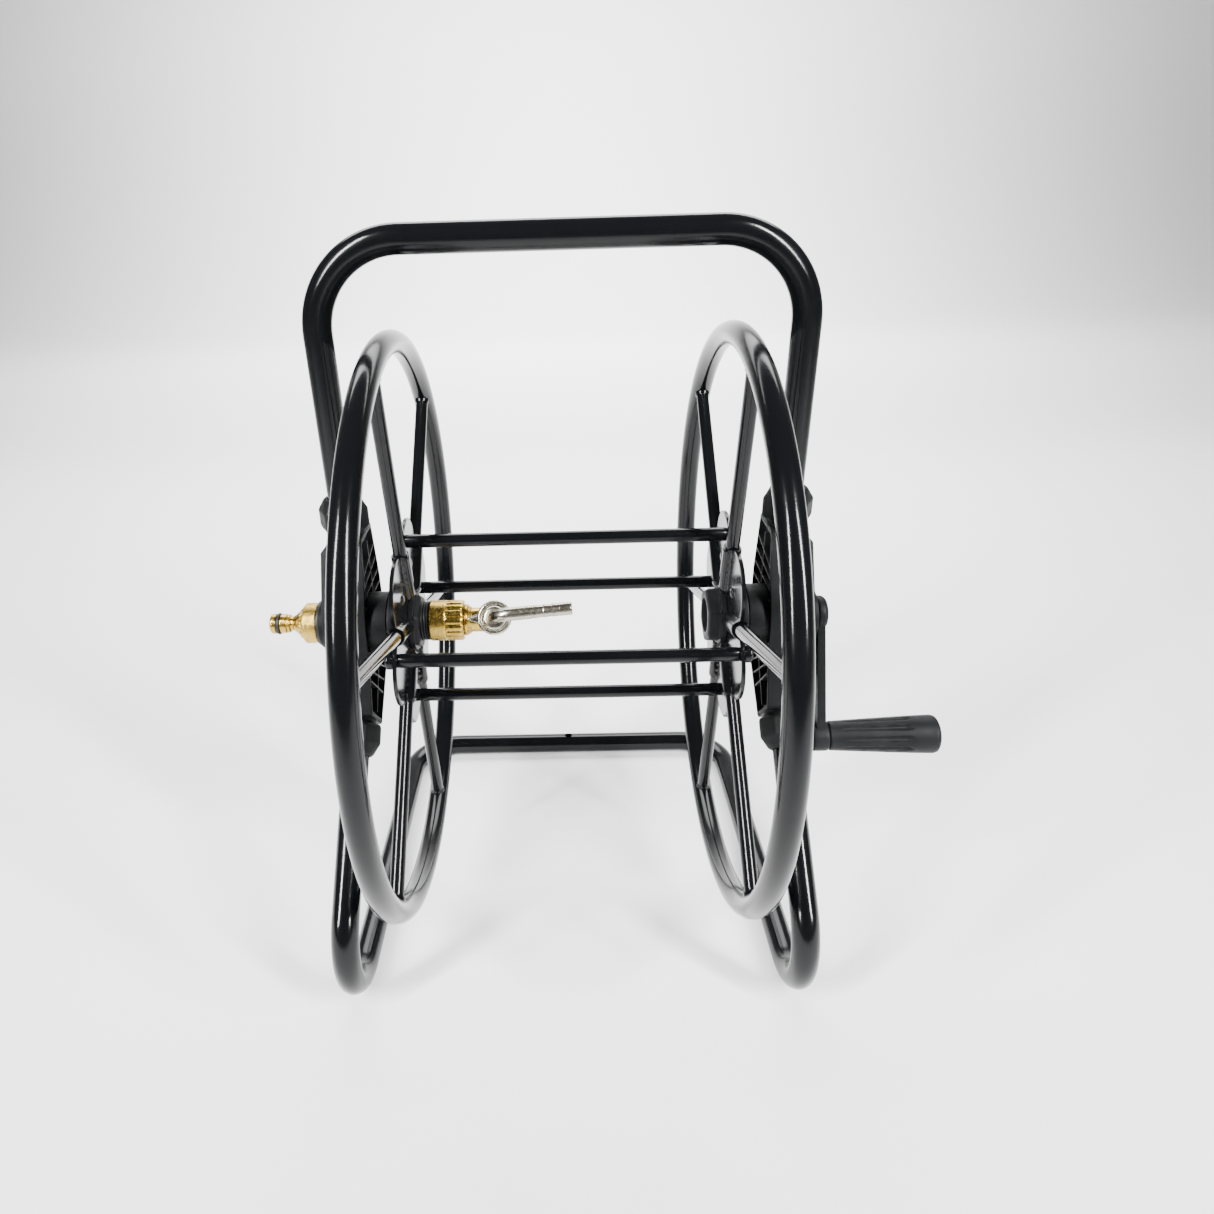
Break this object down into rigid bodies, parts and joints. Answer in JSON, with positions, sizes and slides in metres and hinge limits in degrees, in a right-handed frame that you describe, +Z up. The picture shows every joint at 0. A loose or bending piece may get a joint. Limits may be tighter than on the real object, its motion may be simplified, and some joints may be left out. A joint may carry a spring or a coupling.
{
  "type": "garden hose reel",
  "caption": "Free-standing hose reel: open drum of two spoked tube rings turned by a crank on a bent-tube stand with clamped carry handle and brass water fittings.",
  "frame": {"origin": "on the floor, straight below the middle of the axle, half way between the two side rings", "axes": "+Z up, +X along the axle towards the crank, -Y the front, where the feet and the outlet are"},
  "size_m": [0.5085, 0.4445, 0.548],
  "materials": {
    "black_powder_coated_steel": "gloss black powder coat",
    "black_moulded_plastic": "matte moulded, fine grain",
    "brass": "machined and knurled",
    "stainless_steel": "polished",
    "black_rubber": "matt",
    "acetal": "natural acetal",
    "zinc_plated_steel": "zinc plated"
  },
  "bodies": {
    "stand": {"handle_tube": "black_powder_coated_steel", "base_tube": "black_powder_coated_steel", "grip_rings": "acetal", "inlet_washer": "black_rubber", "inlet_connector": "brass", "spigot_seal": "black_rubber", "water_stem": "black_moulded_plastic", "stem_seals": "black_rubber", "bracket_left": "black_moulded_plastic", "bush_left": "acetal", "clamp_nut_upper_left": "black_moulded_plastic", "clamp_nut_lower_left": "black_moulded_plastic", "bracket_right": "black_moulded_plastic", "bush_right": "acetal", "clamp_nut_upper_right": "black_moulded_plastic", "clamp_nut_lower_right": "black_moulded_plastic"},
    "drum": {"cross_rods": "black_powder_coated_steel", "tie_studs": "zinc_plated_steel", "cap_nuts": "black_powder_coated_steel", "union_nut": "brass", "union_washer": "black_rubber", "outlet_neck": "brass", "outlet_tail": "stainless_steel", "swivel_ring": "stainless_steel", "crank_arm": "black_moulded_plastic", "crank_screw": "zinc_plated_steel", "crank_cap": "black_moulded_plastic", "grip_pin": "zinc_plated_steel", "rim_left": "black_powder_coated_steel", "spokes_left": "black_powder_coated_steel", "hub_plate_inner_left": "black_powder_coated_steel", "hub_plate_outer_left": "black_powder_coated_steel", "hub_rivets_left": "black_powder_coated_steel", "hub_journal_left": "black_moulded_plastic", "hub_nut_left": "black_moulded_plastic", "rim_right": "black_powder_coated_steel", "spokes_right": "black_powder_coated_steel", "hub_plate_inner_right": "black_powder_coated_steel", "hub_plate_outer_right": "black_powder_coated_steel", "hub_rivets_right": "black_powder_coated_steel", "hub_journal_right": "black_moulded_plastic", "hub_nut_right": "black_moulded_plastic"},
    "grip": {"crank_grip": "black_moulded_plastic", "grip_cap": "black_moulded_plastic"}
  },
  "joints": [
    {"name": "drum_spin", "type": "hinge", "parent": "stand", "child": "drum", "pos_m": [0, 0, 0.266], "axis": [1, 0, 0], "continuous": true},
    {"name": "grip_spin", "type": "hinge", "parent": "drum", "child": "grip", "pos_m": [0.2415, -0.0185, 0.169], "axis": [1, 0, 0], "continuous": true}
  ]
}
